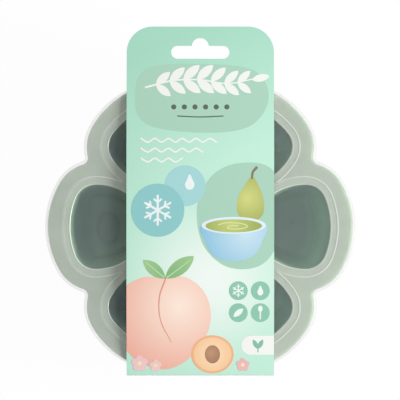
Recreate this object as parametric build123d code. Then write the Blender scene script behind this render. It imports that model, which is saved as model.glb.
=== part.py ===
"""Six-portion freezer tray for baby food, packed for sale.

Three pieces: a one-piece silicone tray with six petal-shaped cups, a clear clip-on lid
with a flared skirt, and a folded card sleeve with a hang tab.  The tray's moulding is
written out as eight solids that touch face to face, its deck, its cups and its middle
well, so that each hollow can be handled as an open vessel.  Units are millimetres.  +Z is
up, the hang tab points to +Y, and the origin is under the middle of the tray, on the
surface that the pack lies on.
"""
import math
import os

from build123d import *

os.makedirs("parts", exist_ok=True)

# --- silicone tray: outline ------------------------------------------------------------
portions = 6                 # cups, evenly spaced round the middle
tray_reach = 100.9           # middle to the edge of a lobe, along the lobe's axis
lobe_tip_radius = 57.2       # long arc at the end of a lobe
lobe_tip_half_angle = 31.0   # degrees of that arc on each side of the lobe's axis
lobe_shoulder_radius = 26.4  # shorter arc from the tip arc towards the notch
notch_radius = 4.9           # hollow arc between two lobes

# --- silicone tray: cups ---------------------------------------------------------------
cup_reach = 85.8             # middle to the outer edge of a cup's opening
cup_tip_half_angle = 21.5    # degrees of the opening's outer arc on each side of its axis
cup_corner_radius = 13.9     # opening's two outer corners
cup_side_radius = 38.0       # bulge of the opening's sides
cup_inner_radius = 14.0      # rounded end of the opening, next to the middle
web_width = 10.8             # flat silicone between two neighbouring openings
cup_depth = 46.0             # top of the deck to the cup's floor
cup_draft = 7.5              # degrees, so that a frozen portion pushes out
cup_floor_radius = 7.0       # inside rounding from wall to floor, as flat steps
cup_lip = 0.9                # bevelled edge of the opening
cup_wall = 2.0
cup_floor = 2.2

# --- silicone tray: deck, rim and middle well --------------------------------------------
deck_thickness = 2.4
deck_root = 1.3              # bevel from the deck's underside into the cup walls and the rim
rim_depth = 6.6              # downturned edge, measured from the top of the deck
rim_thickness = 2.4
rim_edge = 1.2               # bevelled top edge of the rim
well_across = 18.0           # hexagonal well, across its flats
well_corner_radius = 4.0
well_depth = 7.0
well_draft = 6.0
well_floor_radius = 1.0      # inside rounding from wall to floor, as flat steps
well_wall = 1.8
floor_steps = 2              # flats that make up each of these roundings

# --- lid -------------------------------------------------------------------------------
lid_clearance = 0.3          # between the rim and the inside of the skirt
lid_thickness = 1.2          # top plate
skirt_thickness = 1.1
skirt_flare = 1.0            # how far the skirt widens from top to bottom
skirt_below_bead = 0.7       # from the snap beads to the skirt's lower edge
lid_edge = 0.7               # bevelled top edge of the skirt
bead_reach = 0.5             # how far a snap bead reaches in under the rim
bead_height = 1.0
bead_bevel = 0.3             # sloping top and bottom of the bead's nose
bead_gap = 0.3               # from the rim's lower edge to the bead
bead_half_angle = 11.0       # degrees of each bead, on both sides of a lobe's axis
channel_start = 0.5          # sealing channel: inner side, outside the cup's opening
channel_width = 4.4
channel_depth = 0.8          # how far the channel dips below the top plate
channel_side = 0.9           # sloping side of the channel, measured flat

# --- card sleeve ------------------------------------------------------------------------
card_thickness = 0.5
sleeve_width = 97.2
sleeve_gap = 0.3             # card to the cups, and card to the lid at the creases
sleeve_end_gap = 0.2         # card to the lid's skirt at both ends
panel_bow = 4.0              # how far the front panel arches up between its creases
fold_radius = 0.9            # outside of each crease
tab_length = 34.2            # hang tab, beyond the upper end wall, seen from above
tab_corner_radius = 17.0
slot_width = 38.5            # hang slot, overall
slot_height = 8.6
slot_from_edge = 17.1        # top edge of the tab to the middle of the slot
slot_bump_radius = 5.6       # round notch above the slot, for a peg
slot_blend_radius = 1.2      # from the notch into the slot's straight edge
slot_bump_rise = 3.9         # middle of the notch above the middle of the slot

# --- heights worked out from the sizes above ----------------------------------------------
pitch = 360 / portions
half_pitch = pitch / 2
cup_bottom_z = card_thickness + sleeve_gap
cup_floor_z = cup_bottom_z + cup_floor
deck_top_z = cup_floor_z + cup_depth
deck_under_z = deck_top_z - deck_thickness
rim_z = deck_top_z - rim_depth
lid_under_z = deck_top_z + channel_depth
lid_top_z = lid_under_z + lid_thickness
sleeve_inner_z = lid_top_z + sleeve_gap
tiny = 1e-3                  # two heights closer than this are the same


def at(radius, degrees):
    """Point at a distance and a direction from the middle, in the plan."""
    return Vector(radius, 0).rotate(Axis.Z, degrees)


def arc_about(centre, radius, start, end):
    """Arc about a centre, between two directions in degrees."""
    return CenterArc(centre, radius, start, end - start)


def flower(offset=0.0):
    """Plan of the tray with its lobes, grown outwards by offset."""
    tip_centre = tray_reach - lobe_tip_radius
    shoulder = Vector(tip_centre, 0) + at(lobe_tip_radius - lobe_shoulder_radius, lobe_tip_half_angle)
    along = shoulder.dot(at(1, half_pitch))
    across = math.sqrt(shoulder.length**2 - along**2)
    notch = at(along + math.sqrt((lobe_shoulder_radius + notch_radius) ** 2 - across**2), half_pitch)
    to_notch = notch - shoulder
    shoulder_end = math.degrees(math.atan2(to_notch.Y, to_notch.X))
    shoulder_below = Vector(shoulder.X, -shoulder.Y)
    lobe = [
        arc_about(shoulder_below, lobe_shoulder_radius + offset, -shoulder_end, -lobe_tip_half_angle),
        arc_about((tip_centre, 0), lobe_tip_radius + offset, -lobe_tip_half_angle, lobe_tip_half_angle),
        arc_about(shoulder, lobe_shoulder_radius + offset, lobe_tip_half_angle, shoulder_end),
        arc_about(notch, notch_radius - offset, shoulder_end - 180, pitch - shoulder_end - 180),
    ]
    edges = [Rot(0, 0, i * pitch) * edge for i in range(portions) for edge in lobe]
    return make_face(Wire(edges))


def petal(offset=0.0):
    """Plan of the cup on the +X axis at the top of the deck, grown outwards by offset."""
    sin_half = math.sin(math.radians(half_pitch))
    cos_half = math.cos(math.radians(half_pitch))
    tip_slope = math.tan(math.radians(cup_tip_half_angle / 2))
    reach_term = sin_half * (cup_reach - cup_corner_radius * (1 - tip_slope))
    side_term = web_width / 2 + cup_side_radius * (1 - cos_half)
    half_width = (reach_term - side_term) / (cos_half + sin_half * tip_slope)
    corner = Vector(
        cup_reach - cup_corner_radius - (half_width - cup_corner_radius) * tip_slope,
        half_width - cup_corner_radius,
    )
    tip_radius = cup_corner_radius + corner.Y / math.sin(math.radians(cup_tip_half_angle))
    tip_centre = Vector(cup_reach - tip_radius, 0)
    side = Vector(corner.X, half_width - cup_side_radius)
    inner = Vector((web_width / 2 + cup_inner_radius) / sin_half, 0)
    side_angle = 90 + half_pitch
    upper = [
        arc_about(corner, cup_corner_radius + offset, cup_tip_half_angle, 90),
        arc_about(side, cup_side_radius + offset, 90, side_angle),
    ]
    side_end = side + at(cup_side_radius + offset, side_angle)
    inner_start = inner + at(cup_inner_radius + offset, side_angle)
    upper.append(Line(side_end, inner_start))
    lower = [edge.mirror(Plane.XZ) for edge in upper]
    ends = [
        arc_about(tip_centre, tip_radius + offset, -cup_tip_half_angle, cup_tip_half_angle),
        arc_about(inner, cup_inner_radius + offset, side_angle, 360 - side_angle),
    ]
    return make_face(Wire(upper + lower + ends))


def hexagon(offset=0.0):
    """Plan of the middle well, corners pointing between the cups, grown outwards by offset."""
    corner_reach = (well_across / 2 - well_corner_radius) / math.cos(math.radians(half_pitch))
    edges = []
    for i in range(portions):
        corner = at(corner_reach, half_pitch + i * pitch)
        following = at(corner_reach, half_pitch + (i + 1) * pitch)
        outwards = at(well_corner_radius + offset, (i + 1) * pitch)
        edges.append(arc_about(corner, well_corner_radius + offset, i * pitch, (i + 1) * pitch))
        edges.append(Line(corner + outwards, following + outwards))
    return make_face(Wire(edges))


def around(shape):
    """One copy of a shape for each cup."""
    return [Rot(0, 0, i * pitch) * shape for i in range(portions)]


def edges_at(solid, height):
    """Edges that lie flat at one height."""
    flat = [e for e in solid.edges() if e.bounding_box().size.Z < tiny]
    return [e for e in flat if abs(e.center().Z - height) < tiny]


def hole_edges(solid, height):
    """Edges round the holes in the largest flat face at one height."""
    level = [f for f in solid.faces().filter_by(GeomType.PLANE) if abs(f.center().Z - height) < tiny]
    widest = max(level, key=lambda face: face.area)
    return [edge for wire in widest.inner_wires() for edge in wire.edges()]


def drafted(outline, top, depth, draft, bottom_radius):
    """Solid under an outline at height top, narrowing downwards, its bottom edge eased in steps."""
    slope = math.radians(draft)
    turn = (math.pi / 2 - slope) / (floor_steps + 1)
    corner_reach = bottom_radius / math.cos(turn / 2)
    centre_offset = -bottom_radius / math.cos(slope) - (depth - bottom_radius) * math.tan(slope)
    centre_z = top - depth + bottom_radius
    levels = [(0.0, top)]
    for i in range(floor_steps + 1):
        angle = slope + turn * (i + 0.5)
        level = (centre_offset + corner_reach * math.cos(angle), centre_z - corner_reach * math.sin(angle))
        levels.append(level)
    solid = Part()
    for (upper, upper_z), (lower, lower_z) in zip(levels, levels[1:]):
        fall = upper_z - lower_z
        taper = math.degrees(math.atan2(upper - lower, fall))
        solid += extrude(Pos(0, 0, upper_z) * outline(upper), amount=-fall, dir=(0, 0, 1), taper=taper)
    return solid


def cup_outline(offset):
    """Plan of the outside of a cup, grown outwards by offset."""
    return petal(cup_wall + offset)


def well_outline(offset):
    """Plan of the outside of the middle well, grown outwards by offset."""
    return hexagon(well_wall + offset)


def silicone_tray():
    """The whole moulding: deck, downturned rim, cups and the middle well."""
    body = extrude(Pos(0, 0, rim_z) * flower(), rim_depth)
    body = chamfer(edges_at(body, deck_top_z), rim_edge)
    under = extrude(Pos(0, 0, rim_z) * flower(-rim_thickness), rim_depth - deck_thickness)
    body -= chamfer(edges_at(under, deck_under_z), deck_root)

    outside_radius = cup_floor_radius + cup_wall
    cup = drafted(cup_outline, deck_top_z, cup_depth + cup_floor, cup_draft, outside_radius)
    well_outside = well_floor_radius + well_wall
    well = drafted(well_outline, deck_top_z, well_depth + well_wall, well_draft, well_outside)
    for hanging in around(cup) + [well]:
        body += hanging
    body = chamfer(hole_edges(body, deck_under_z), deck_root)

    cup_inside = drafted(petal, deck_top_z, cup_depth, cup_draft, cup_floor_radius)
    well_inside = drafted(hexagon, deck_top_z, well_depth, well_draft, well_floor_radius)
    for hollow in around(cup_inside) + [well_inside]:
        body -= hollow
    return chamfer(hole_edges(body, deck_top_z), cup_lip)


def tray_nodes():
    """The moulding cut under its deck: the deck with its rim, the cups and the middle well."""
    tray = silicone_tray()
    cup_regions = around(extrude(cup_outline(2 * deck_root), deck_under_z))
    well_region = extrude(well_outline(2 * deck_root), deck_under_z)
    cups = [(tray & region).solid() for region in cup_regions]
    well = (tray & well_region).solid()
    for region in cup_regions + [well_region]:
        tray -= region
    return {"tray_deck": tray, "tray_cups": Compound(cups), "tray_well": well}


def channel_ring(top):
    """Ring with sloping sides that runs round one cup's opening, from height top downwards."""
    slope = math.degrees(math.atan2(channel_side, channel_depth))
    outer = Pos(0, 0, top) * petal(channel_start + channel_width)
    inner = Pos(0, 0, top) * petal(channel_start)
    ring = extrude(outer, amount=-channel_depth, dir=(0, 0, 1), taper=slope)
    return ring - extrude(inner, amount=-channel_depth, dir=(0, 0, 1), taper=-slope)


def lid():
    """One moulding: top plate, flared skirt, snap beads and a sealing channel for each cup."""
    bead_top = rim_z - bead_gap
    skirt_z = bead_top - bead_height - skirt_below_bead
    flare = math.degrees(math.atan2(skirt_flare, lid_top_z - skirt_z))
    outside = Pos(0, 0, lid_top_z) * flower(lid_clearance + skirt_thickness)
    body = extrude(outside, amount=skirt_z - lid_top_z, dir=(0, 0, 1), taper=-flare)
    body = chamfer(edges_at(body, lid_top_z), lid_edge)
    inside = Pos(0, 0, lid_under_z) * flower(lid_clearance)
    body -= extrude(inside, amount=skirt_z - lid_under_z, dir=(0, 0, 1), taper=-flare)

    for ring in around(channel_ring(lid_under_z)):
        body += ring
    for groove in around(channel_ring(lid_top_z)):
        body -= groove
    for bead in around(snap_bead(bead_top)):
        body += bead
    return body


def snap_bead(top):
    """Wedge-nosed bead along the inside of the skirt, at the end of one lobe."""
    tip_centre = tray_reach - lobe_tip_radius
    nose = lobe_tip_radius - bead_reach
    root = lobe_tip_radius + lid_clearance + skirt_flare
    bottom = top - bead_height
    upper = [(root, top), (nose + bead_bevel, top), (nose, top - bead_bevel)]
    lower = [(nose, bottom + bead_bevel), (nose + bead_bevel, bottom), (root, bottom)]
    profile = make_face(Polyline(*upper, *lower, close=True))
    bead = revolve(Plane.XZ * profile, Axis.Z, 2 * bead_half_angle)
    return Pos(tip_centre, 0, 0) * Rot(0, 0, -bead_half_angle) * bead


def sleeve():
    """One folded card round the tray and lid, glued at the two-ply hang tab."""
    outer_reach = lid_reach_y() + sleeve_end_gap + card_thickness
    crease_z = sleeve_inner_z + card_thickness
    height = crease_z + panel_bow
    arch_radius = (outer_reach**2 + panel_bow**2) / (2 * panel_bow)
    arch = Pos(0, height - arch_radius) * Circle(arch_radius)
    outline = Pos(0, height / 2) * Rectangle(2 * outer_reach, height) & arch
    folds = outline.vertices().sort_by(lambda corner: corner.X + corner.Y)[:-1]
    outline = fillet(folds, fold_radius)
    tilt = math.degrees(math.asin(outer_reach / arch_radius))
    plies = 2 * card_thickness
    tab = Pos(tab_length / 2, -plies / 2) * Rectangle(tab_length + plies, plies)
    tab = Pos(outer_reach, crease_z) * Rot(0, 0, -tilt) * tab
    profile = outline - offset(outline, -card_thickness) + tab
    body = extrude(Plane.YZ * profile, sleeve_width / 2, both=True)
    return body & extrude(card_plan(outer_reach), height)


def card_plan(reach):
    """Plan of the card from its lower end wall to the tab's rounded corners, with the hang slot."""
    tab_end = reach + tab_length
    plan = Pos(0, (tab_end - reach) / 2) * Rectangle(sleeve_width, reach + tab_end)
    plan = fillet(plan.vertices().group_by(Axis.Y)[-1], tab_corner_radius)
    return plan - Pos(0, tab_end - slot_from_edge) * hang_slot()


def lid_reach_y():
    """How far the lid reaches from the middle along Y, at the skirt's lower edge."""
    return flower(lid_clearance + skirt_thickness + skirt_flare).bounding_box().max.Y


def hang_slot():
    """Plan of the long hang slot with its round notch for a peg."""
    slot = SlotOverall(slot_width, slot_height) + Pos(0, slot_bump_rise) * Circle(slot_bump_radius)
    crooks = [v for v in slot.vertices() if abs(v.Y - slot_height / 2) < tiny and abs(v.X) < slot_bump_radius]
    return fillet(crooks, slot_blend_radius)


for name, piece in {**tray_nodes(), "lid": lid(), "sleeve": sleeve()}.items():
    export_step(piece, f"parts/{name}.step")
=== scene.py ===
"""Looks of the freezer tray pack.

The tray, the lid and the folded card are modelled here as fine meshes over their CAD
nodes, the print lies on the card as thin layers of ink, and every surface gets a node
material.  Lengths named in millimetres are turned into metres by MM.
"""

import math

import bmesh
import bpy
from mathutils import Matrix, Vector


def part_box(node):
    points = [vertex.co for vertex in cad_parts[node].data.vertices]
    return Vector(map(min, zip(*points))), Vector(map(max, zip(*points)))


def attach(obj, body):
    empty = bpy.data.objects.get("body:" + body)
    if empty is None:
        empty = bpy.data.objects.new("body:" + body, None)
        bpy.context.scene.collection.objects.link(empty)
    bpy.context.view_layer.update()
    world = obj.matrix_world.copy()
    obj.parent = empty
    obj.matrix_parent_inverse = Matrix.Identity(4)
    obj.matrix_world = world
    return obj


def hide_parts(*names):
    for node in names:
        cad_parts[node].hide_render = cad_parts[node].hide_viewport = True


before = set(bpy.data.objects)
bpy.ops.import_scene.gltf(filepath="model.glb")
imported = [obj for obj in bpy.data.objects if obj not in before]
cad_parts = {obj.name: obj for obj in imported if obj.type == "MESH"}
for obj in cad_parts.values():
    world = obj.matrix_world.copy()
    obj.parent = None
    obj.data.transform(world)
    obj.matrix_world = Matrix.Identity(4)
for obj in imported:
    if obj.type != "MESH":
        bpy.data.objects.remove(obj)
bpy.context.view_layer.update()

MM = 0.001


# --- sizes taken from the frame, in millimetres ---

def box_mm(name):
    """Lowest and highest corner of a CAD node, in millimetres."""
    return tuple(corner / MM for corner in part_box(name))


deck_high = box_mm("tray_deck")[1]
cups_low, cups_high = box_mm("tray_cups")
lid_low, lid_high = box_mm("lid")
sleeve_low, sleeve_high = box_mm("sleeve")

TRAY_REACH = deck_high.x         # middle to the edge of a lobe
DECK_TOP = deck_high.z
DECK_UNDER = cups_high.z
CUP_BOTTOM = cups_low.z
LID_TOP = lid_high.z
SKIRT_Z = lid_low.z
CARD_TOP = sleeve_high.z
CARD_SIDE = sleeve_high.x
CARD_END = -sleeve_low.y
TAB_END = sleeve_high.y


# --- sizes of the mouldings, as in the solid model: millimetres, and degrees for the half angles ---

PORTIONS = 6
LOBE_TIP_RADIUS = 57.2
LOBE_TIP_HALF_ANGLE = 31.0
LOBE_SHOULDER_RADIUS = 26.4
NOTCH_RADIUS = 4.9
CUP_REACH = 85.8
CUP_TIP_HALF_ANGLE = 21.5
CUP_CORNER_RADIUS = 13.9
CUP_SIDE_RADIUS = 38.0
CUP_INNER_RADIUS = 14.0
WEB_WIDTH = 10.8
CUP_DEPTH = 46.0
CUP_DRAFT = math.radians(7.5)
CUP_FLOOR_RADIUS = 7.0
CUP_WALL = 2.0
LIP_RADIUS = 1.1
RIM_DEPTH = 6.6
RIM_THICKNESS = 2.4
RIM_EDGE_RADIUS = 1.8
ROOT_RADIUS = 1.8
WELL_ACROSS = 18.0
WELL_CORNER_RADIUS = 4.0
WELL_DEPTH = 7.0
WELL_DRAFT = math.radians(6.0)
WELL_FLOOR_RADIUS = 1.0
WELL_WALL = 1.8
LID_THICKNESS = 1.2
LID_CLEARANCE = 0.3
SKIRT_THICKNESS = 1.1
LID_EDGE_RADIUS = 0.9
CHANNEL_START = 0.5
CHANNEL_WIDTH = 4.4
CHANNEL_DEPTH = 0.8
CHANNEL_SIDE = 0.9
CARD_THICKNESS = 0.5

PITCH = 360 / PORTIONS
LID_UNDER = LID_TOP - LID_THICKNESS
SAME_POINT = 1e-4                # outline points closer than this are one


# --- outlines in the plan ---

def towards(radius, degrees):
    """Point at a distance and a direction from the middle, in the plan."""
    return Vector((radius * math.cos(math.radians(degrees)), radius * math.sin(math.radians(degrees))))


def arc(centre, radius, start, end, steps):
    """Points along an arc, both ends included."""
    return [centre + towards(radius, start + (end - start) * i / steps) for i in range(steps + 1)]


def without_twins(points):
    """The points with each one that lies on the one before it left out."""
    return [p for i, p in enumerate(points) if (p - points[i - 1]).length > SAME_POINT]


def flower(offset=0.0):
    """Outline of the tray with its lobes, grown outwards by offset."""
    tip = Vector((TRAY_REACH - LOBE_TIP_RADIUS, 0))
    shoulder = tip + towards(LOBE_TIP_RADIUS - LOBE_SHOULDER_RADIUS, LOBE_TIP_HALF_ANGLE)
    along = shoulder.dot(towards(1, PITCH / 2))
    across = math.sqrt(shoulder.length_squared - along**2)
    notch = towards(along + math.sqrt((LOBE_SHOULDER_RADIUS + NOTCH_RADIUS) ** 2 - across**2), PITCH / 2)
    end = math.degrees(math.atan2(notch.y - shoulder.y, notch.x - shoulder.x))
    below = Vector((shoulder.x, -shoulder.y))
    radius = LOBE_SHOULDER_RADIUS + offset
    lobe = arc(below, radius, -end, -LOBE_TIP_HALF_ANGLE, steps=12)
    lobe += arc(tip, LOBE_TIP_RADIUS + offset, -LOBE_TIP_HALF_ANGLE, LOBE_TIP_HALF_ANGLE, steps=28)
    lobe += arc(shoulder, radius, LOBE_TIP_HALF_ANGLE, end, steps=12)
    lobe += arc(notch, NOTCH_RADIUS - offset, end - 180, PITCH - end - 180, steps=10)
    return without_twins([turned(p, i * PITCH) for i in range(PORTIONS) for p in lobe])


def petal(offset=0.0, turn=0.0):
    """Outline of one cup at the top of the deck, grown outwards by offset."""
    sin_half = math.sin(math.radians(PITCH / 2))
    cos_half = math.cos(math.radians(PITCH / 2))
    slope = math.tan(math.radians(CUP_TIP_HALF_ANGLE / 2))
    reach_term = sin_half * (CUP_REACH - CUP_CORNER_RADIUS * (1 - slope))
    side_term = WEB_WIDTH / 2 + CUP_SIDE_RADIUS * (1 - cos_half)
    half_width = (reach_term - side_term) / (cos_half + sin_half * slope)
    rise = half_width - CUP_CORNER_RADIUS
    corner = Vector((CUP_REACH - CUP_CORNER_RADIUS - rise * slope, rise))
    tip_radius = CUP_CORNER_RADIUS + rise / math.sin(math.radians(CUP_TIP_HALF_ANGLE))
    side = Vector((corner.x, half_width - CUP_SIDE_RADIUS))
    inner = Vector(((WEB_WIDTH / 2 + CUP_INNER_RADIUS) / sin_half, 0))
    last = 90 + PITCH / 2
    points = arc(Vector((CUP_REACH - tip_radius, 0)), tip_radius + offset, 0, CUP_TIP_HALF_ANGLE, steps=10)
    points += arc(corner, CUP_CORNER_RADIUS + offset, CUP_TIP_HALF_ANGLE, 90, steps=14)
    points += arc(side, CUP_SIDE_RADIUS + offset, 90, last, steps=12)
    points += arc(inner, CUP_INNER_RADIUS + offset, last, 180, steps=14)
    mirrored = [Vector((p.x, -p.y)) for p in reversed(points)]
    return without_twins([turned(p, turn) for p in points + mirrored])


def hexagon(offset=0.0):
    """Outline of the middle well, grown outwards by offset."""
    inset = WELL_ACROSS / 2 - WELL_CORNER_RADIUS
    points = []
    for i in range(PORTIONS):
        corner = towards(inset / math.cos(math.radians(PITCH / 2)), (i + 0.5) * PITCH)
        points += arc(corner, WELL_CORNER_RADIUS + offset, i * PITCH, (i + 1) * PITCH, steps=8)
    return without_twins(points)


def turned(point, degrees):
    """A point turned about the middle."""
    c, s = math.cos(math.radians(degrees)), math.sin(math.radians(degrees))
    return Vector((point.x * c - point.y * s, point.x * s + point.y * c))


# --- meshes built from rings ---

class Shell:
    """A mesh made of rings of points: strips between two rings and flat areas with holes."""

    def __init__(self):
        self.mesh = bmesh.new()

    def point(self, spot, z):
        """One vertex over a spot in the plan."""
        return self.mesh.verts.new((spot.x * MM, spot.y * MM, z * MM))

    def ring(self, outline, z):
        """Vertices of an outline in the plan, at a height."""
        return [self.point(spot, z) for spot in outline]

    def face(self, corners, slot=0):
        """One face on some vertices, which may be a whole ring."""
        self.mesh.faces.new(corners).material_index = slot

    def strip(self, lower, upper, slot=0, closed=True):
        """Quads between two rings with equally many vertices."""
        for i in range(0 if closed else 1, len(lower)):
            self.face((lower[i - 1], lower[i], upper[i], upper[i - 1]), slot)

    def sweep(self, outline, profile, slot=0, first=None):
        """Rings of outline(offset) for each (offset, z) of a profile, joined by strips.

        Returns the first and the last ring.  A ring that is already there can be the first.
        """
        rings = [first or self.ring(outline(profile[0][0]), profile[0][1])]
        rings += [self.ring(outline(offset), z) for offset, z in profile[1:]]
        for lower, upper in zip(rings, rings[1:]):
            self.strip(lower, upper, slot)
        return rings[0], rings[-1]

    def closed_sweep(self, outline, profile):
        """A sweep whose last ring meets its first."""
        first, last = self.sweep(outline, profile)
        self.strip(last, first)

    def plate(self, rim, holes, slot=0):
        """A flat area between a rim and some holes."""
        edges = []
        for ring in [rim] + holes:
            for i in range(len(ring)):
                edge = self.mesh.edges.get((ring[i - 1], ring[i]))
                edges.append(edge or self.mesh.edges.new((ring[i - 1], ring[i])))
        made = bmesh.ops.triangle_fill(self.mesh, use_beauty=True, use_dissolve=False, edges=edges)
        for item in made["geom"]:
            if isinstance(item, bmesh.types.BMFace):
                item.material_index = slot

    def drape(self, height, cuts=()):
        """Cuts what lies flat across Y at some places and raises it by a height that depends on Y."""
        for cut in cuts:
            geometry = self.mesh.verts[:] + self.mesh.edges[:] + self.mesh.faces[:]
            bmesh.ops.bisect_plane(self.mesh, geom=geometry, plane_co=(0, cut * MM, 0), plane_no=(0, 1, 0))
        for vert in self.mesh.verts:
            vert.co.z += height(vert.co.y / MM) * MM

    def finish(self, name, materials, outward=True):
        """The finished object, smooth shaded; outward turns its faces to the outside."""
        if outward:
            bmesh.ops.recalc_face_normals(self.mesh, faces=self.mesh.faces)
        mesh = bpy.data.meshes.new(name)
        self.mesh.to_mesh(mesh)
        self.mesh.free()
        mesh.shade_smooth()
        made = bpy.data.objects.new(name, mesh)
        bpy.context.scene.collection.objects.link(made)
        for material in materials:
            mesh.materials.append(material)
        return made


def rounding(centre, radius, start, end, steps=6):
    """Profile points (offset, z) along an arc in the section."""
    return [tuple(centre + towards(radius, start + (end - start) * i / steps)) for i in range(steps + 1)]


# --- colours: 8-bit display values, as they are read off a swatch ---

def linear(colour):
    """A display colour as the linear colour that shader sockets take."""
    def channel(value):
        value /= 255
        return value / 12.92 if value <= 0.04045 else ((value + 0.055) / 1.055) ** 2.4
    return (*(channel(value) for value in colour), 1.0)


SILICONE_DARK = (118, 149, 118)
SILICONE_LIGHT = (130, 161, 130)
VEIL_DARK = (230, 235, 227)      # the lid's white haze where it lies on the deck
VEIL_LIGHT = (241, 244, 238)
# painted highlight: the white of the bright lines along the lid's crests
CREST_PAINTED_HIGHLIGHT = (252, 254, 250)
HAZE_AND_PAINTED_REFLECTION_DARK = (198, 224, 230)      # its thin haze over the dark cups, tinted blue as a painted reflection
HAZE_AND_PAINTED_REFLECTION_LIGHT = (210, 234, 240)
SKIRT_PAINTED_SHADE_DARK = (168, 171, 164)      # its skirt: painted shade, the grey that the clear edge shows seen along its wall
SKIRT_PAINTED_SHADE_LIGHT = (184, 186, 180)
MINT_DEEP = (160, 215, 191)
# painted light: the paler mint where the key lamp falls on the card
MINT_PAINTED_LIGHT = (190, 235, 213)
MINT_GLOW = (240, 249, 243)
PULP_DARK = (222, 219, 210)
PULP_LIGHT = (236, 234, 227)
WHITE = (1.0, 1.0, 1.0, 1.0)     # linear


# --- nodes ---

def new_material(name):
    """A material with nodes: returns it, its node tree and its Principled shader."""
    material = bpy.data.materials.new(name)
    material.use_nodes = True
    tree = material.node_tree
    return material, tree, tree.nodes["Principled BSDF"]


def feed(tree, socket, value):
    """Links or sets one input."""
    if isinstance(value, bpy.types.NodeSocket):
        tree.links.new(value, socket)
    else:
        socket.default_value = value


def node(tree, kind, inputs=(), **settings):
    """A shader node with some settings and with input values or links."""
    made = tree.nodes.new("ShaderNode" + kind)
    for key, value in settings.items():
        setattr(made, key, value)
    for key, value in dict(inputs).items():
        feed(tree, made.inputs[key], value)
    return made


def place_of(tree):
    """The point on the object, in metres."""
    return node(tree, "TexCoord").outputs["Object"]


def noise(tree, scale, detail=3.0, roughness=0.5):
    """Noise in the object's own coordinates, scale in features per metre."""
    return node(tree, "TexNoise", {"Vector": place_of(tree), "Scale": scale, "Detail": detail,
                                   "Roughness": roughness}).outputs["Fac"]


def between(tree, factor, first, second):
    """A colour between two, by a factor from 0 to 1; the numbers are the node's colour sockets."""
    return node(tree, "Mix", {0: factor, 6: first, 7: second}, data_type="RGBA").outputs[2]


def spread(tree, value, low, high, start=0.0, end=1.0):
    """Maps a value from start..end to low..high."""
    return node(tree, "MapRange", {"Value": value, "From Min": start, "From Max": end,
                                   "To Min": low, "To Max": high}).outputs[0]


def bump(tree, shader, height, strength, depth):
    """Fine relief on a shader, its depth in millimetres."""
    made = node(tree, "Bump", {"Height": height, "Strength": strength, "Distance": depth * MM})
    tree.links.new(made.outputs["Normal"], shader.inputs["Normal"])


def surface(tree, shader, colour, clouds, roughness, grain, strength, depth):
    """A colour, roughness in clouds, and fine grain; clouds and grain are a noise's scale and detail."""
    feed(tree, shader.inputs["Base Color"], colour)
    feed(tree, shader.inputs["Roughness"], spread(tree, noise(tree, *clouds), *roughness))
    bump(tree, shader, noise(tree, *grain), strength, depth)


CLOUD_SPAN = (0.35, 0.65)        # most of a noise lies between these


def mottled(tree, dark, light, scale):
    """A colour that drifts between two near ones."""
    cloud = spread(tree, noise(tree, scale, detail=4), 0, 1, *CLOUD_SPAN)
    return between(tree, cloud, linear(dark), linear(light))


# --- materials ---

def silicone():
    """Sage silicone: satin, cloudy pigment, fine moulded grain."""
    material, tree, shader = new_material("sage_silicone")
    surface(tree, shader, mottled(tree, SILICONE_DARK, SILICONE_LIGHT, scale=28),
            clouds=(160, 4), roughness=(0.38, 0.52), grain=(1800, 2), strength=0.12, depth=0.2)
    shader.inputs["Subsurface Weight"].default_value = 0.8
    shader.inputs["Subsurface Radius"].default_value = (1.0, 1.0, 1.0)
    shader.inputs["Subsurface Scale"].default_value = 6 * MM
    shader.inputs["Sheen Weight"].default_value = 0.1
    shader.inputs["Sheen Roughness"].default_value = 0.5
    return material


def lid_plastic(name, alpha, dark, light):
    """Milky polypropylene that lets part of the light through."""
    material, tree, shader = new_material("clear_" + name)
    surface(tree, shader, mottled(tree, dark, light, scale=40),
            clouds=(220, 3), roughness=(0.18, 0.3), grain=(70, 2), strength=0.05, depth=0.4)
    shader.inputs["Alpha"].default_value = alpha
    shader.inputs["IOR"].default_value = 1.49
    return material


def coated(tree, shader, colour):
    """Coated card: soft gloss with the fibres just showing through."""
    surface(tree, shader, colour,
            clouds=(300, 3), roughness=(0.36, 0.48), grain=(1200, 3), strength=0.08, depth=0.2)


# painted light on the card: the mint is lightest round a spot low on the right, where the key lamp shines,
# and deepens away from it
PAINTED_LIGHT_MIDDLE = (60.0, -45.0)
PAINTED_LIGHT_REACH = 100.0               # painted light: the ground is all the lit mint this close to its middle
PAINTED_LIGHT_END = 187.0               # and all MINT_DEEP from here on, where the painted light has faded
GLOW_MIDDLE = (6.0, -35.0)
GLOW_REACH = 67.0                # where the glow has faded out
SCREEN_SCALE = 2600
SCREEN_SPAN = (0.3, 0.7)         # the screen's dots grow with the part of the noise between these
GROUND_SCREEN = 0.06             # most white that the screen mixes into the ground
INK_SCREEN = 0.08                # and into the inks on it


def panel_distance(tree, x, y):
    """How far a point of the card is from a spot on the front panel, in metres."""
    spot = (x * MM, y * MM, panel_z(y) * MM)
    return node(tree, "VectorMath", {0: place_of(tree), 1: spot}, operation="DISTANCE").outputs["Value"]


def screened(tree, colour, most):
    """A printed colour with the fine white screen of the press."""
    dots = spread(tree, noise(tree, SCREEN_SCALE, detail=2), 0.0, most, *SCREEN_SPAN)
    return between(tree, dots, colour, WHITE)


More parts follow.
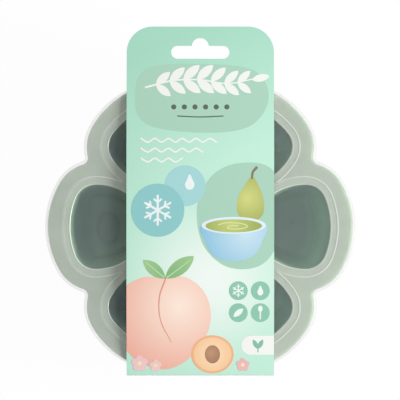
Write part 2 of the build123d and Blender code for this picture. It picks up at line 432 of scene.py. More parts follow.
def ground_and_painted_light(tree):
    """Mint with painted light, lightest low on the right, with a printed glow low on the panel and a fine
    screen.
    """
    far = spread(tree, panel_distance(tree, *PAINTED_LIGHT_MIDDLE), 0, 1, PAINTED_LIGHT_REACH * MM, PAINTED_LIGHT_END * MM)
    ground = between(tree, far, linear(MINT_PAINTED_LIGHT), linear(MINT_DEEP))
    glow = node(tree, "MapRange", {"Value": panel_distance(tree, *GLOW_MIDDLE), "From Min": GLOW_REACH * MM,
                                   "From Max": 0.0}, interpolation_type="SMOOTHSTEP").outputs[0]
    return screened(tree, between(tree, glow, ground, linear(MINT_GLOW)), GROUND_SCREEN)


def printed_ground_and_painted_light():
    """The mint ground of the card, with its painted light."""
    material, tree, shader = new_material("card_ground_and_painted_light")
    coated(tree, shader, ground_and_painted_light(tree))
    return material


def creased():
    """The ground where the card is folded: the coating cracks and the white fibres show."""
    material, tree, shader = new_material("card_crease")
    worn = spread(tree, noise(tree, 700, detail=4, roughness=0.7), 0.05, 0.3, *CLOUD_SPAN)
    feed(tree, shader.inputs["Base Color"], between(tree, worn, ground_and_painted_light(tree), linear(PULP_LIGHT)))
    feed(tree, shader.inputs["Roughness"], spread(tree, worn, 0.45, 0.8))
    bump(tree, shader, noise(tree, 1400, detail=4), strength=0.25, depth=0.2)
    return material


def pulp():
    """Bare grey-white board: the card's inside and its cut edges."""
    material, tree, shader = new_material("card_pulp")
    surface(tree, shader, mottled(tree, PULP_DARK, PULP_LIGHT, scale=900),
            clouds=(300, 3), roughness=(0.75, 0.9), grain=(1500, 3), strength=0.2, depth=0.2)
    return material


def ink(name, colour, edge=None, centre=None, reach=None):
    """Printing ink: one colour, or one that turns into another within a reach of a point."""
    material, tree, shader = new_material("ink_" + name)
    tone = linear(colour)
    if edge:
        share = spread(tree, panel_distance(tree, *centre), 0, 1, 0, reach * MM)
        tone = between(tree, share, tone, linear(edge))
    coated(tree, shader, screened(tree, tone, INK_SCREEN))
    return material


# --- the tray ---

SUPPORT = 0.3                    # narrow flat ring that keeps the shading of a flat area even
RIM_LOW_RADIUS = 0.8
RING_MIDDLE = Vector((-62.9, -1.3))
RING_HALF_SIZE = (7.2, 10.2)
NUB_MIDDLE = Vector((63.2, 2.2))
# sections of the marks: offset, and height over the cup's floor
RING_SECTION = [(1.0, -0.1), (0.75, 0.22), (0.4, 0.3), (-0.4, 0.3), (-0.75, 0.22), (-1.0, -0.1)]
NUB_SECTION = [(1.3, -0.05), (0.9, 0.1), (0.4, 0.16)]


def wall_at(start, draft, z):
    """Offset at a height of a wall that leaves the deck's top at offset start and narrows down."""
    return start - (DECK_TOP - z) * math.tan(draft)


def foot_profile(start, draft, low_z, radius):
    """Lower end of a drafted wall's section: rounded edge and the start of the floor."""
    foot_z = low_z + radius
    foot = Vector((wall_at(start, draft, foot_z) - radius / math.cos(draft), foot_z))
    return rounding(foot, radius, -math.degrees(draft), -90, steps=10) + [(foot.x - SUPPORT, low_z)]


def hollow_profile(draft, floor_z, radius):
    """Section of a hollow: flat of the deck, rounded lip, drafted wall, rounded floor edge."""
    lip = Vector((LIP_RADIUS / math.cos(draft) - LIP_RADIUS * math.tan(draft), DECK_TOP - LIP_RADIUS))
    profile = [(lip.x + SUPPORT, DECK_TOP)]
    profile += rounding(lip, LIP_RADIUS, 90, 180 - math.degrees(draft))
    return profile + foot_profile(0, draft, floor_z, radius)


def hanging_profile(start, draft, bottom_z, radius):
    """Section of the outside of a hollow: flat under the deck, root, drafted wall, rounded bottom."""
    root_z = DECK_UNDER - ROOT_RADIUS
    root = Vector((wall_at(start, draft, root_z) + ROOT_RADIUS / math.cos(draft), root_z))
    profile = [(root.x + SUPPORT, DECK_UNDER)]
    profile += rounding(root, ROOT_RADIUS, 90, 180 - math.degrees(draft))
    return profile + foot_profile(start, draft, bottom_z, radius)


def rim_profile():
    """Section of the tray's edge: deck, rounded edge, downturned rim and its root under the deck."""
    inner = -RIM_THICKNESS
    edge = Vector((-RIM_EDGE_RADIUS, DECK_TOP - RIM_EDGE_RADIUS))
    low_z = DECK_TOP - RIM_DEPTH + RIM_LOW_RADIUS
    profile = [(edge.x - SUPPORT, DECK_TOP)]
    profile += rounding(edge, RIM_EDGE_RADIUS, 90, 0)
    for side, start in ((-RIM_LOW_RADIUS, 0), (inner + RIM_LOW_RADIUS, -90)):
        profile += rounding(Vector((side, low_z)), RIM_LOW_RADIUS, start, start - 90, steps=4)
    root = Vector((inner - ROOT_RADIUS, DECK_UNDER - ROOT_RADIUS))
    profile += rounding(root, ROOT_RADIUS, 0, 90)
    return profile + [(root.x - SUPPORT, DECK_UNDER)]


def cup_outlines():
    """For each cup, a function from an offset to its outline."""
    return [lambda offset, turn=i * PITCH: petal(offset, turn) for i in range(PORTIONS)]


def make_tray(material):
    """The whole silicone moulding in one piece."""
    shell = Shell()
    top_rim, under_rim = shell.sweep(flower, rim_profile())
    inside = hollow_profile(CUP_DRAFT, DECK_TOP - CUP_DEPTH, CUP_FLOOR_RADIUS)
    outside = hanging_profile(CUP_WALL, CUP_DRAFT, CUP_BOTTOM, CUP_FLOOR_RADIUS + CUP_WALL)
    well_inside = hollow_profile(WELL_DRAFT, DECK_TOP - WELL_DEPTH, WELL_FLOOR_RADIUS)
    well_bottom = DECK_TOP - WELL_DEPTH - WELL_WALL
    well_outside = hanging_profile(WELL_WALL, WELL_DRAFT, well_bottom, WELL_FLOOR_RADIUS + WELL_WALL)
    top_holes, under_holes = [], []
    for outline in cup_outlines():
        hollow(shell, outline, inside, top_holes)
        hollow(shell, outline, outside, under_holes)
    hollow(shell, hexagon, well_inside, top_holes)
    hollow(shell, hexagon, well_outside, under_holes)
    shell.plate(top_rim, top_holes)
    shell.plate(under_rim, under_holes)
    add_floor_marks(shell)
    tray = shell.finish("tray_moulding", [material])
    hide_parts("tray_deck", "tray_cups", "tray_well")
    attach(tray, "tray")


def hollow(shell, outline, profile, holes):
    """Sweeps a section round an outline, closes its floor and notes its top ring as a hole."""
    top, bottom = shell.sweep(outline, profile)
    shell.face(bottom)
    holes.append(top)


def add_floor_marks(shell):
    """Moulded marks on two cup floors: a plain oval ring and the small gate nub."""
    floor_z = DECK_TOP - CUP_DEPTH
    ring, nub = ([(offset, floor_z + height) for offset, height in section]
                 for section in (RING_SECTION, NUB_SECTION))
    shell.closed_sweep(lambda offset: oval(RING_MIDDLE, RING_HALF_SIZE, offset), ring)
    nub_top = shell.sweep(lambda offset: oval(NUB_MIDDLE, (0, 0), offset), nub)[1]
    shell.face(nub_top)


def oval(middle, half_size, offset, steps=48):
    """Upright oval with its half width and half height grown by offset."""
    width, height = half_size[0] + offset, half_size[1] + offset
    angles = [2 * math.pi * i / steps for i in range(steps)]
    return [middle + Vector((width * math.cos(angle), height * math.sin(angle))) for angle in angles]


# --- the lid ---

# the lid's material slots, each with its alpha and two tones; the crests' tones are a painted highlight, the
# skirt's grey a painted shade and the window's blue tint a painted reflection
WINDOW_PAINTED_REFLECTION, FLAT, CHANNEL, SLOPE, HIGHLIGHTED_CREST, SHADED_SKIRT, UNDERSIDE = range(7)
LID_FINISH = {
    # the window's haze is milky plastic, and its blue tint a painted reflection
    "window": (0.13, HAZE_AND_PAINTED_REFLECTION_DARK, HAZE_AND_PAINTED_REFLECTION_LIGHT),
    "flat": (0.43, VEIL_DARK, VEIL_LIGHT),
    "channel": (0.46, VEIL_DARK, VEIL_LIGHT),
    "slope": (0.46, VEIL_DARK, VEIL_LIGHT),
    # painted highlight: the crests are whiter and denser than the flat, to draw the bright ring lines round
    # the cups
    "crest": (0.56, VEIL_LIGHT, CREST_PAINTED_HIGHLIGHT),
    # painted shade: the skirt and the beads are greyer than the rest of the lid
    "skirt": (0.12, SKIRT_PAINTED_SHADE_DARK, SKIRT_PAINTED_SHADE_LIGHT),
    "underside": (0.04, VEIL_DARK, VEIL_LIGHT),
}
SKIRT_FLARE = 1.0
SKIRT_LOW_RADIUS = 0.4
SKIRT_ROOT_RADIUS = 0.5
CHANNEL_AIR = 0.05               # the channels stop this far above the deck
GROOVE_DEPTH = 0.12              # of the channels in the top face
CREST_HEIGHT = 0.08
CREST_SIDE = 0.5
WINDOW_DROP = 0.25
BORDER = 2.0                     # slow rise of the flat towards the lid's edge
BEAD_HALF_ANGLE = 11.0           # degrees
BEAD_REACH = 0.5
BEAD_HEIGHT = 1.0
BEAD_BEVEL = 0.3
BEAD_GAP = 0.3                   # between the beads and the tray's rim over them


def step_profile(start, end, high, low, steps=7):
    """Section of a softened slope between two flats."""
    profile = []
    for i in range(steps + 1):
        t = i / steps
        profile.append((start + (end - start) * t, high + (low - high) * t * t * (3 - 2 * t)))
    return profile


def skirt_profile():
    """Section of the lid's edge, from the flat top over the skirt to the flat underside."""
    flare = math.atan2(SKIRT_FLARE, LID_TOP - SKIRT_Z)
    lean = math.tan(flare)
    outer = LID_CLEARANCE + SKIRT_THICKNESS
    angle = math.degrees(flare)

    def beside(start, start_z, z, radius):
        """Middle of a rounding, a radius outside a flared wall, or inside it if that is negative."""
        return Vector((start + (start_z - z) * lean + radius / math.cos(flare), z))

    low_z = SKIRT_Z + SKIRT_LOW_RADIUS
    edge = beside(outer, LID_TOP, LID_TOP - LID_EDGE_RADIUS, -LID_EDGE_RADIUS)
    low_outer = beside(outer, LID_TOP, low_z, -SKIRT_LOW_RADIUS)
    low_inner = beside(LID_CLEARANCE, LID_UNDER, low_z, SKIRT_LOW_RADIUS)
    root = beside(LID_CLEARANCE, LID_UNDER, LID_UNDER - SKIRT_ROOT_RADIUS, -SKIRT_ROOT_RADIUS)
    profile = [(edge.x - SUPPORT, LID_TOP)] + rounding(edge, LID_EDGE_RADIUS, 90, angle)
    profile += rounding(low_outer, SKIRT_LOW_RADIUS, angle, -90, steps=4)
    profile += rounding(low_inner, SKIRT_LOW_RADIUS, -90, angle - 180, steps=4)
    profile += rounding(root, SKIRT_ROOT_RADIUS, angle, 90, steps=4)
    return profile + [(root.x - SUPPORT, LID_UNDER)]


def channel(shell, outline, high_z, depth, crest, drop, slots):
    """One sealing channel and the window inside it, in one face of the lid.

    The channel lies between two fine crests at high_z.  The flat of the lid is lower than they are
    by crest, and the window by drop.  Returns the ring where the flat begins.
    """
    slope, floor, edge, middle = slots
    low_z = high_z - depth
    outer = CHANNEL_START + CHANNEL_WIDTH
    inner = CHANNEL_START - CREST_SIDE
    runs = [
        (step_profile(outer + CREST_SIDE, outer, high_z - crest, high_z), edge),
        (step_profile(outer, outer - CHANNEL_SIDE, high_z, low_z), slope),
        ([(CHANNEL_START + CHANNEL_SIDE, low_z)], floor),
        (step_profile(CHANNEL_START + CHANNEL_SIDE, CHANNEL_START, low_z, high_z), slope),
        (step_profile(CHANNEL_START, inner, high_z, high_z - drop), edge),
        ([(inner - SUPPORT, high_z - drop)], middle),
    ]
    start = outer + CREST_SIDE + SUPPORT, high_z - crest
    rim = ring = shell.ring(outline(start[0]), start[1])
    for profile, slot in runs:
        ring = shell.sweep(outline, [start] + profile, slot, ring)[1]
        start = profile[-1]
    shell.face(ring, middle)
    return rim


def make_lid(materials):
    """The clear lid with its skirt, snap beads and sealing channels."""
    shell = Shell()
    skirt = skirt_profile()
    border = step_profile(skirt[0][0] - BORDER, skirt[0][0], LID_TOP - CREST_HEIGHT, LID_TOP)
    top_rim, ring = shell.sweep(flower, border, FLAT)
    under_rim = shell.sweep(flower, skirt, SHADED_SKIRT, ring)[1]
    outlines = cup_outlines()
    groove = LID_TOP, GROOVE_DEPTH, CREST_HEIGHT, WINDOW_DROP, (SLOPE, CHANNEL, HIGHLIGHTED_CREST, WINDOW_PAINTED_REFLECTION)
    seal = LID_UNDER, CHANNEL_DEPTH - CHANNEL_AIR, 0.0, 0.0, (UNDERSIDE,) * 4
    above = [channel(shell, outline, *groove) for outline in outlines]
    below = [channel(shell, outline, *seal) for outline in outlines]
    shell.plate(top_rim, above, FLAT)
    shell.plate(under_rim, below, UNDERSIDE)
    for i in range(PORTIONS):
        add_bead(shell, i * PITCH)
    lid = shell.finish("lid_moulding", materials)
    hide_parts("lid")
    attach(lid, "tray")


def add_bead(shell, turn):
    """Wedge-nosed snap bead on the inside of the skirt, at the end of one lobe."""
    top = DECK_TOP - RIM_DEPTH - BEAD_GAP
    low = top - BEAD_HEIGHT
    nose = LOBE_TIP_RADIUS - BEAD_REACH
    root = LOBE_TIP_RADIUS + SKIRT_FLARE
    section = [(root, top), (nose + BEAD_BEVEL, top), (nose, top - BEAD_BEVEL),
               (nose, low + BEAD_BEVEL), (nose + BEAD_BEVEL, low), (root, low)]
    middle = Vector((TRAY_REACH - LOBE_TIP_RADIUS, 0))
    steps = 8
    rows = []
    for i in range(steps + 1):
        angle = BEAD_HALF_ANGLE * (2 * i / steps - 1)
        rows.append([shell.point(turned(middle + towards(radius, angle), turn), z) for radius, z in section])
    for first, second in zip(rows, rows[1:]):
        for i in range(len(section)):
            shell.face((first[i - 1], first[i], second[i], second[i - 1]), SHADED_SKIRT)
    shell.face(rows[0], SHADED_SKIRT)
    shell.face(rows[-1], SHADED_SKIRT)


# --- the card sleeve ---

PRINT, BOARD, CREASE = 0, 1, 2   # the card's material slots
FOLD_RADIUS = 0.9
TAB_CORNER_RADIUS = 17.0
SLOT_WIDTH = 38.5
SLOT_HEIGHT = 8.6
SLOT_FROM_EDGE = 17.1
SLOT_BUMP_RADIUS = 5.6
SLOT_BUMP_RISE = 3.9
SLEEVE_GAP = 0.3                 # between the lid and the card, at the creases
PLY_GAP = 0.04                   # hairline between the two plies of the tab
BEND_RUN = 0.3                   # straight card between the bend and the tab's rear ply
INK_ROOM = 0.13                  # the card's face lies this far under the sleeve's top
PANEL_FLATS = 40                 # short flats that make up the arch of the front panel
CRISP_ANGLE = math.radians(30)   # the card is drawn crisp where it turns by more

CREASE_Z = LID_TOP + SLEEVE_GAP + CARD_THICKNESS
PANEL_BOW = CARD_TOP - CREASE_Z
ARCH_RADIUS = (CARD_END**2 + PANEL_BOW**2) / (2 * PANEL_BOW)
TAB_TILT = math.asin(CARD_END / ARCH_RADIUS)
FLAT_LENGTH = 2 * CARD_END / PANEL_FLATS


def panel_z(y):
    """Height of the card's face: the arch between the creases and, past it, the straight tab."""
    if y > CARD_END:
        return CREASE_Z - INK_ROOM - (y - CARD_END) * math.tan(TAB_TILT)
    start = math.floor(y / FLAT_LENGTH) * FLAT_LENGTH
    low, high = (CARD_TOP - INK_ROOM - ARCH_RADIUS + math.sqrt(ARCH_RADIUS**2 - edge**2)
                 for edge in (start, start + FLAT_LENGTH))
    return low + (high - low) * (y - start) / FLAT_LENGTH


def tab_outline(start_y):
    """The tab with its two round corners, open along start_y."""
    corner = Vector((CARD_SIDE - TAB_CORNER_RADIUS, TAB_END - TAB_CORNER_RADIUS))
    points = [Vector((CARD_SIDE, start_y))]
    points += arc(corner, TAB_CORNER_RADIUS, 0, 90, steps=16)
    points += arc(Vector((-corner.x, corner.y)), TAB_CORNER_RADIUS, 90, 180, steps=16)
    return points + [Vector((-CARD_SIDE, start_y))]


def slot_outline():
    """Long hang slot with a round notch for a peg."""
    middle_y = TAB_END - SLOT_FROM_EDGE
    half = SLOT_HEIGHT / 2
    run = SLOT_WIDTH / 2 - half
    bump_half = math.degrees(math.acos((half - SLOT_BUMP_RISE) / SLOT_BUMP_RADIUS))
    bump_middle = Vector((0, middle_y + SLOT_BUMP_RISE))
    points = arc(Vector((run, middle_y)), half, -90, 90, steps=12)
    points += arc(bump_middle, SLOT_BUMP_RADIUS, 90 - bump_half, 90 + bump_half, steps=16)
    return points + arc(Vector((-run, middle_y)), half, 90, 270, steps=12)


def add_ply(shell, start_y, low, high, print_above):
    """One ply of the tab, between two heights from the card's face, with the hang slot through it."""
    rims, slots = [], []
    for z, printed in ((low, not print_above), (high, print_above)):
        rims.append(shell.ring(tab_outline(start_y), z))
        slots.append(shell.ring(slot_outline(), z))
        shell.plate(rims[-1], [slots[-1]], PRINT if printed else BOARD)
    shell.strip(*rims, BOARD, closed=False)
    shell.strip(*slots, BOARD)


def panel_pair(y):
    """Section of the front panel at one place: inside, outside and what its outside is made of."""
    return Vector((y, panel_z(y) - CARD_THICKNESS)), Vector((y, panel_z(y))), PRINT


def fold(middle, start, end, inner, outer, steps=5):
    """Section of a crease."""
    slots = [CREASE] * steps + [PRINT]
    return list(zip(arc(middle, inner, start, end, steps), arc(middle, outer, start, end, steps), slots))


BEND_Y = CARD_END - CARD_THICKNESS + FOLD_RADIUS           # middle of the bend into the tab
BEND_END = BEND_Y + FOLD_RADIUS * math.sin(TAB_TILT)


def loop_section():
    """Section of the card in the YZ plane, from the tab over the front panel and round to the tab."""
    inner = FOLD_RADIUS - CARD_THICKNESS
    near = -CARD_END + FOLD_RADIUS
    tilt = math.degrees(TAB_TILT)
    drop = FOLD_RADIUS * math.cos(TAB_TILT)
    section = [panel_pair(CARD_END - i * FLAT_LENGTH) for i in range(PANEL_FLATS)]
    crease_y = near - FOLD_RADIUS * math.sin(TAB_TILT)
    section += fold(Vector((near, panel_z(crease_y) - drop)), 90 + tilt, 180, inner, FOLD_RADIUS)
    section += fold(Vector((near, FOLD_RADIUS)), 180, 270, inner, FOLD_RADIUS)
    section += fold(Vector((-near, FOLD_RADIUS)), 270, 360, inner, FOLD_RADIUS)
    under = CARD_THICKNESS + PLY_GAP
    section += fold(Vector((BEND_Y, panel_z(BEND_END) - under - drop)), 180, 90 - tilt, FOLD_RADIUS, inner)
    last_y = BEND_END + BEND_RUN
    last_top, last_under = (Vector((last_y, panel_z(last_y) - down)) for down in (under, 2 * CARD_THICKNESS))
    return section + [(last_top, last_under, PRINT)]


def add_loop(shell):
    """The card round the tray: front panel, creases, end walls and back panel."""
    section = loop_section()
    rows = [[tuple(shell.mesh.verts.new((x * MM, p.x * MM, p.y * MM)) for p in pair[:2]) for pair in section]
            for x in (-CARD_SIDE, CARD_SIDE)]
    left, right = rows
    for i in range(len(section) - 1):
        for side, slot in ((0, BOARD), (1, section[i][2])):
            shell.face((left[i][side], left[i + 1][side], right[i + 1][side], right[i][side]), slot)
        for row in rows:
            shell.face((row[i][0], row[i + 1][0], row[i + 1][1], row[i][1]), BOARD)


def make_sleeve(materials):
    """The folded card: a loop round the tray and a hang tab of two plies, in one welded mesh."""
    shell = Shell()
    add_ply(shell, CARD_END, -CARD_THICKNESS, 0, True)
    add_ply(shell, BEND_END + BEND_RUN, -2 * CARD_THICKNESS, -CARD_THICKNESS - PLY_GAP, False)
    shell.drape(panel_z)
    add_loop(shell)
    bmesh.ops.remove_doubles(shell.mesh, verts=shell.mesh.verts, dist=1e-6)
    sleeve = shell.finish("sleeve_card", materials)
    sleeve.data.set_sharp_from_angle(angle=CRISP_ANGLE)
    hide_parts("sleeve")
    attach(sleeve, "sleeve")


# --- shapes of the print, in millimetres on the front panel ---

def disc(x, y, radius, steps=48):
    """Round spot."""
    return arc(Vector((x, y)), radius, 0, 360 - 360 / steps, steps - 1)


def curve(points, steps):
    """Smooth curve through all but the first and the last of some points."""
    made = []
    for p0, p1, p2, p3 in zip(points, points[1:], points[2:], points[3:]):
        for s in range(steps):
            t = s / steps
            made.append(0.5 * (2 * p1 + (p2 - p0) * t + (2 * p0 - 5 * p1 + 4 * p2 - p3) * t**2
                               + (3 * p1 - p0 - 3 * p2 + p3) * t**3))
    return made


def smooth_loop(points, steps=8):
    """Closed smooth curve through a few points."""
    count = len(points)
    return curve([Vector(points[i % count]) for i in range(-1, count + 2)], steps)


def smooth_line(points, steps=8):
    """Open smooth curve through a few points."""
    ends = [2 * Vector(points[0]) - Vector(points[1])] + [Vector(p) for p in points]
    ends.append(2 * ends[-1] - ends[-2])
    return curve(ends, steps) + [ends[-2]]


CAP_HALF_ANGLE = 72              # degrees that a line's round end reaches to either side


def stroke(points, width, end_width=None):
    """A line with round ends and a width that may change on the way."""
    line = smooth_line(points)
    last = len(line) - 1
    half_start = width / 2
    half_end = (end_width or width) / 2
    left, right = [], []
    for i, p in enumerate(line):
        along = (line[min(i + 1, last)] - line[max(i - 1, 0)]).normalized()
        half = half_start + (half_end - half_start) * i / last
        across = Vector((-along.y, along.x)) * half
        left.append(p + across)
        right.append(p - across)
    left += round_end(line[-1], line[-2], half_end)
    return left + right[::-1] + round_end(line[0], line[1], half_start)


def round_end(tip, before, radius):
    """Arc round the tip of a line, which comes from another point."""
    direction = (tip - before).normalized()
    angle = math.degrees(math.atan2(direction.y, direction.x))
    return arc(tip, radius, angle + CAP_HALF_ANGLE, angle - CAP_HALF_ANGLE, steps=4)


def leaf(x, y, length, width, angle):
    """Pointed leaf that grows from a point, in a direction in degrees."""
    radius = (length**2 + width**2) / (4 * width)
    half = math.degrees(math.asin(length / 2 / radius))
    points = []
    for side in (1, -1):
        middle = Vector((length / 2, -side * (radius - width / 2)))
        points += arc(middle, radius, side * 90 + half, side * 90 - half, steps=12)[:-1]
    return [Vector((x, y)) + turned(p, angle) for p in points]


def capsule(x, y, width, height):
    """Level bar with round ends."""
    radius = height / 2
    middle = Vector((x, y))
    run = Vector((width / 2 - radius, 0))
    return arc(middle + run, radius, -90, 90, steps=12) + arc(middle - run, radius, 90, 270, steps=12)


def clipped(outline):
    """The part of an outline that lies on the card's front panel."""
    right, left, down = Vector((1, 0)), Vector((-1, 0)), Vector((0, -1))
    for outwards, limit in ((right, CARD_SIDE), (left, CARD_SIDE), (down, CARD_END - FOLD_RADIUS)):
        kept = []
        for i, p in enumerate(outline):
            before = outline[i - 1]
            past, past_before = p.dot(outwards) - limit, before.dot(outwards) - limit
            if (past > 0) != (past_before > 0):
                kept.append(before + (p - before) * (past_before / (past_before - past)))
            if past <= 0:
                kept.append(p)
        outline = kept
    return without_twins(outline)


LAYER = 0.02                     # height of one layer of ink over the next
STACK = 0.0006                   # shapes of one ink that overlap lie this far over each other


def print_shapes(name, outlines, material, layer):
    """Lays outlines on the front panel as one thin layer of ink."""
    shell = Shell()
    for i, outline in enumerate(outlines):
        shell.face(shell.ring(clipped(outline), layer * LAYER + i * STACK))
    shell.mesh.normal_update()
    for face in shell.mesh.faces:
        if face.normal.z < 0:
            face.normal_flip()
    bmesh.ops.triangulate(shell.mesh, faces=shell.mesh.faces, ngon_method="EAR_CLIP")
    shell.drape(panel_z, [-CARD_END + i * FLAT_LENGTH for i in range(PANEL_FLATS + 1)])
    piece = shell.finish("print_" + name, [material], outward=False)
    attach(piece, "sleeve")


# --- the print: a generic fruit design ---

BARB_PLACE = 0.55                # barbs of a snowflake, as shares of its arms
BARB_LENGTH = 0.32
BARB_WIDTH = 0.85
DROP_SIDE = [(0.42, 0.45), (0.68, -0.2), (0.48, -0.8)]       # right side of a drop of size 1


def sprig():
    """Leafy twig across the head of the panel."""
    stem = [(-36, 92), (-18, 96.5), (0, 97), (18, 94.5), (35, 97.5)]
    shapes = [stroke(stem, width=1.3, end_width=0.8)]
    line = smooth_line(stem)
    for i in range(7):
        root = line[3 + 4 * i]
        length = 15 - abs(i - 2.5)
        for lean in (42, -38):
            shapes.append(leaf(root.x, root.y, length, width=length * 0.42, angle=lean))
    shapes.append(leaf(34, 97, length=12, width=5, angle=12))
    return shapes


def wave(x, y, length, rise=1.2, period=9.0):
    """Level wavy line."""
    half_waves = int(2 * length / period)
    points = [(x + period / 2 * i, y + rise * (-1) ** i) for i in range(half_waves + 1)]
    return stroke(points, width=1.1)


def snowflake(x, y, radius, width):
    """Six arms with a pair of barbs on each."""
    middle = Vector((x, y))
    shapes = []
    for angle in range(90, 450, 60):
        out = towards(1, angle)
        shapes.append(stroke([middle, middle + out * radius], width))
        knee = middle + out * radius * BARB_PLACE
        for lean in (-50, 50):
            barb = knee + towards(radius * BARB_LENGTH, angle + lean)
            shapes.append(stroke([knee, barb], width * BARB_WIDTH))
    return shapes


def drop(x, y, size):
    """Water drop."""
    points = [(0, 1.25)] + DROP_SIDE + [(0, -1)] + [(-px, py) for px, py in reversed(DROP_SIDE)]
    return smooth_loop([(x + size * px, y + size * py) for px, py in points], steps=6)


def ellipse(x, y, half_width, half_height):
    """Upright or level oval."""
    return oval(Vector((x, y)), (half_width, half_height), 0)


def blossom(x, y, size):
    """Five round petals."""
    petals = [towards(size, 72 * i + 90) for i in range(5)]
    return [disc(x + p.x, y + p.y, radius=size * 0.72, steps=20) for p in petals]


def print_pebbles():
    """Two soft shapes, a little deeper than the mint."""
    pebbles = [
        smooth_loop([(-43, 88), (-34, 105), (2, 107.5), (36, 103), (45, 84), (32, 66), (0, 62), (-36, 68)]),
        smooth_loop([(8, 34), (26, 42), (47, 38), (58, 12), (44, -22), (20, -27), (2, -12), (-2, 14)]),
    ]
    print_shapes("pebbles", pebbles, ink("pebbles", (164, 207, 184)), layer=1)


def print_head():
    """The twig, a row of dots over a rule, and wavy lines."""
    waves = [wave(-39, y, length) for y, length in ((57, 50), (50.5, 42), (44, 28))]
    print_shapes("sprig", sprig() + waves, ink("white", (241, 243, 238)), layer=2)
    dots = [disc(-17.5 + 7 * i, 79, radius=1.7, steps=24) for i in range(PORTIONS)]
    rule = stroke([(-15, 73), (0, 72.4), (15, 73)], width=0.8)
    print_shapes("rule", dots + [rule], ink("dark", (62, 78, 70)), layer=2)


def print_discs():
    """Two pale blue discs with plain signs for cold and for water."""
    print_shapes("disc_pale", [disc(-10, 27, radius=13.5)], ink("pale_blue", (160, 212, 213)), layer=2)
    print_shapes("disc_deep", [disc(-28, 11, radius=17.5)], ink("deep_blue", (134, 198, 199)), layer=3)
    signs = snowflake(-28, 11, radius=9.5, width=1.5) + [drop(-7, 29, size=4.6)]
    print_shapes("disc_signs", signs, ink("sign_white", (236, 245, 244)), layer=4)


def print_bowl():
    """A bowl of green puree with a pear behind it."""
    pear = smooth_loop([(34, 33), (38, 28), (41.5, 18), (41, 8), (33, 3), (25, 8), (24.5, 18), (29, 27)])
    pear_ink = ink("pear", (206, 212, 118), edge=(148, 158, 62), centre=(31, 19), reach=20)
    print_shapes("pear", [pear], pear_ink, layer=2)
    stalk = stroke([(34, 32), (34.6, 36), (37, 39)], width=1.3, end_width=1.8)
    print_shapes("stalk", [stalk], ink("stalk", (120, 104, 70)), layer=3)
    body = smooth_loop([(1, 1), (3, -9), (9, -19), (22, -22.5), (35, -19), (41, -9), (43, 1), (22, 3)])
    body_ink = ink("bowl", (200, 228, 240), edge=(118, 186, 220), centre=(30, -4), reach=34)
    print_shapes("bowl", [body], body_ink, layer=3)
    print_shapes("bowl_rim", [ellipse(22, 1, 21.2, 5.6)], ink("bowl_rim", (222, 238, 244)), layer=4)
    puree_ink = ink("puree", (190, 204, 112), edge=(150, 168, 70), centre=(20, 2), reach=18)
    print_shapes("puree", [ellipse(22, 0.7, 18.6, 4.3)], puree_ink, layer=5)
    spiral = [(12, 1.5), (18, 2.8), (27, 2.2), (31, 0.2), (25, -1.4), (18, -0.8), (20, 0.8), (25, 0.7)]
    print_shapes("swirl", [stroke(spiral, width=0.8)], ink("swirl", (214, 222, 150)), layer=6)


def print_fruit():
    """A large peach that runs off the left edge, with leaves, half an apricot and blossoms."""
    peach = smooth_loop([(-23, -34), (-10, -33), (2, -42), (7, -57), (3, -74), (-9, -88), (-24, -94),
                         (-42, -88), (-53, -74), (-57, -57), (-51, -41), (-37, -33)])
    peach_ink = ink("peach", (255, 234, 217), edge=(238, 160, 138), centre=(-14, -52), reach=52)
    print_shapes("peach", [peach], peach_ink, layer=2)
    cleft = stroke([(-23, -34.5), (-27, -47), (-26, -62), (-19, -76)], width=1.0, end_width=0.4)
    print_shapes("cleft", [cleft], ink("cleft", (226, 148, 122)), layer=4)
    leaves = [leaf(-23, -34, length=24, width=9.5, angle=38), leaf(-23, -34, length=19, width=8, angle=140)]
    leaf_ink = ink("leaf", (120, 178, 112), edge=(160, 204, 140), centre=(-20, -30), reach=22)
    print_shapes("leaves", leaves, leaf_ink, layer=4)
    ribs = [(-22, -33.4), (-12, -26), (-6.5, -21.6)], [(-24, -33), (-36, -23.2)]
    veins = [stroke(rib, width=0.6, end_width=0.3) for rib in ribs]
    print_shapes("veins", veins, ink("vein", (206, 228, 190)), layer=5)
    print_shapes("half", [ellipse(8, -84, 14, 12.6)], ink("apricot_skin", (240, 176, 128)), layer=3)
    flesh_ink = ink("apricot", (253, 224, 186), edge=(248, 198, 148), centre=(8, -84), reach=13)
    print_shapes("half_flesh", [ellipse(8, -84, 12.6, 11.2)], flesh_ink, layer=4)
    stone_ink = ink("stone", (190, 140, 104), edge=(156, 108, 76), centre=(7, -83), reach=7)
    print_shapes("stone", [ellipse(8, -84, 5, 6)], stone_ink, layer=5)
    flowers, hearts = [], []
    for x, y, size, heart in ((-40, -90, 3.2, 1.4), (-29.5, -91.5, 2.4, 1.1), (28, -91, 2.6, 1.2)):
        flowers += blossom(x, y, size)
        hearts.append(disc(x, y, radius=heart, steps=16))
    blossom_ink = ink("blossom", (244, 204, 204), edge=(236, 180, 182), centre=(-30, -98), reach=60)
    print_shapes("blossoms", flowers, blossom_ink, layer=5)
    print_shapes("blossom_hearts", hearts, ink("heart", (250, 232, 170)), layer=6)


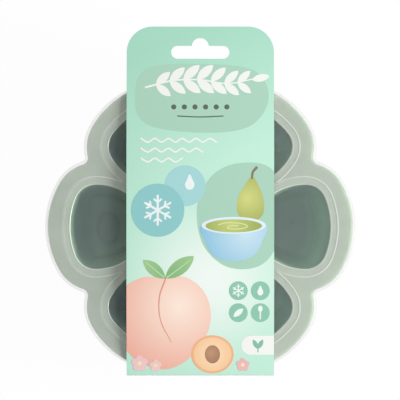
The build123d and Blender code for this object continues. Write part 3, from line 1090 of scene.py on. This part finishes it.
def print_signs():
    """Four round green signs for cold, water, leaf and spoon, and a pill with a sprout."""
    discs = [disc(x, y, radius=6.2) for y in (-42, -56.5) for x in (25, 39.5)]
    print_shapes("sign_discs", discs, ink("sign_green", (132, 194, 168)), layer=2)
    signs = snowflake(25, -42, radius=4.0, width=0.75) + [drop(39.5, -42.2, size=2.9)]
    signs.append(leaf(21.8, -59.2, length=8.4, width=3.6, angle=40))
    signs += [ellipse(39.5, -53.9, 1.5, 2.1), stroke([(39.5, -56), (39.5, -60.5)], width=0.9)]
    print_shapes("sign_marks", signs, ink("mark_white", (240, 246, 242)), layer=3)
    pill = capsule(43, -78, width=32, height=12.5)
    print_shapes("pill", [pill], ink("pill", (243, 244, 239)), layer=2)
    sprout = [leaf(38, -80.4, length=7, width=3, angle=lean) for lean in (62, 118)]
    sprout.append(stroke([(38, -82.5), (38, -79.8)], width=0.7))
    print_shapes("sprout", sprout, ink("sprout", (120, 186, 156)), layer=3)


# --- camera, light and floor ---

PHOTO_PX = 400                   # the photograph is 400 x 400 pixels
MM_PER_PX = 0.66                 # its scale at the top of the lid
MIDDLE_PX = Vector((200.3, 226.8))   # where the middle of the tray lies in it
CAMERA_HEIGHT = 1.25             # metres above the top of the lid
WORLD_LIGHT = 0.28               # strength of the surroundings as a light
FLOOR_GLOW = 0.97                # how much of the floor's shadow the camera sees washed out
FLOOR_HALF = 3.0                 # half of the floor's side, in metres
FLOOR_DROP = 0.2                 # millimetres from the card's back panel down to the floor
FLOOR_GREY = 0.9


def make_camera():
    """A camera that looks straight down, with the tab upwards in the picture."""
    view_width = PHOTO_PX * MM_PER_PX * MM
    camera = bpy.data.cameras.new("camera")
    camera.sensor_fit = "HORIZONTAL"
    camera.angle = 2 * math.atan(view_width / 2 / CAMERA_HEIGHT)
    camera.clip_end = 20
    holder = bpy.data.objects.new("camera", camera)
    across = (PHOTO_PX / 2 - MIDDLE_PX.x) * MM_PER_PX * MM
    up = (MIDDLE_PX.y - PHOTO_PX / 2) * MM_PER_PX * MM
    holder.location = (across, up, LID_TOP * MM + CAMERA_HEIGHT)
    bpy.context.scene.collection.objects.link(holder)
    bpy.context.scene.camera = holder


def area_light(name, place, size, power):
    """A round soft lamp that faces the object; metres and watts."""
    lamp = bpy.data.lights.new(name, "AREA")
    lamp.shape = "DISK"
    lamp.size = size
    lamp.energy = power
    holder = bpy.data.objects.new(name, lamp)
    holder.location = place
    holder.rotation_euler = (-Vector(place)).to_track_quat("-Z", "Y").to_euler()
    bpy.context.scene.collection.objects.link(holder)


def straight_rays(tree):
    """1 for a ray from the camera, or one that reached it through glass or off a gloss."""
    rays = node(tree, "LightPath").outputs
    straight = rays["Is Camera Ray"]
    for kind in ("Is Transmission Ray", "Is Glossy Ray"):
        straight = node(tree, "Math", {0: straight, 1: rays[kind]}, operation="MAXIMUM").outputs[0]
    return straight


def make_world():
    """Surroundings that look white but light the object only weakly."""
    world = bpy.data.worlds.new("studio")
    world.use_nodes = True
    tree = world.node_tree
    background = tree.nodes["Background"]
    background.inputs["Color"].default_value = WHITE
    feed(tree, background.inputs["Strength"], spread(tree, straight_rays(tree), WORLD_LIGHT, 1.0))
    bpy.context.scene.world = world


def make_floor():
    """Floor that the camera sees nearly white, with a trace of the object's shadow."""
    mesh = bpy.data.meshes.new("floor")
    corners = [(x * FLOOR_HALF, y * FLOOR_HALF, 0) for x, y in ((-1, -1), (1, -1), (1, 1), (-1, 1))]
    mesh.from_pydata(corners, [], [(0, 1, 2, 3)])
    floor = bpy.data.objects.new("floor", mesh)
    floor.location.z = -FLOOR_DROP * MM
    bpy.context.scene.collection.objects.link(floor)
    material, tree, shader = new_material("floor")
    shader.inputs["Base Color"].default_value = (FLOOR_GREY, FLOOR_GREY, FLOOR_GREY, 1)
    shader.inputs["Roughness"].default_value = 0.9
    glow = node(tree, "Emission")
    share = node(tree, "Math", {0: straight_rays(tree), 1: FLOOR_GLOW}, operation="MULTIPLY")
    mix = node(tree, "MixShader", {0: share.outputs[0], 1: shader.outputs[0], 2: glow.outputs[0]})
    tree.links.new(mix.outputs[0], tree.nodes["Material Output"].inputs["Surface"])
    mesh.materials.append(material)


make_tray(silicone())
make_lid([lid_plastic(name, *finish) for name, finish in LID_FINISH.items()])
make_sleeve([printed_ground_and_painted_light(), pulp(), creased()])
for print_part in (print_pebbles, print_head, print_discs, print_bowl, print_fruit, print_signs):
    print_part()

bpy.context.scene.view_settings.view_transform = "Standard"
make_camera()
make_world()
make_floor()
area_light("key", place=(1.3, -0.15, 0.55), size=0.6, power=31)
area_light("fill", place=(-0.2, 0.9, 0.9), size=0.7, power=4)
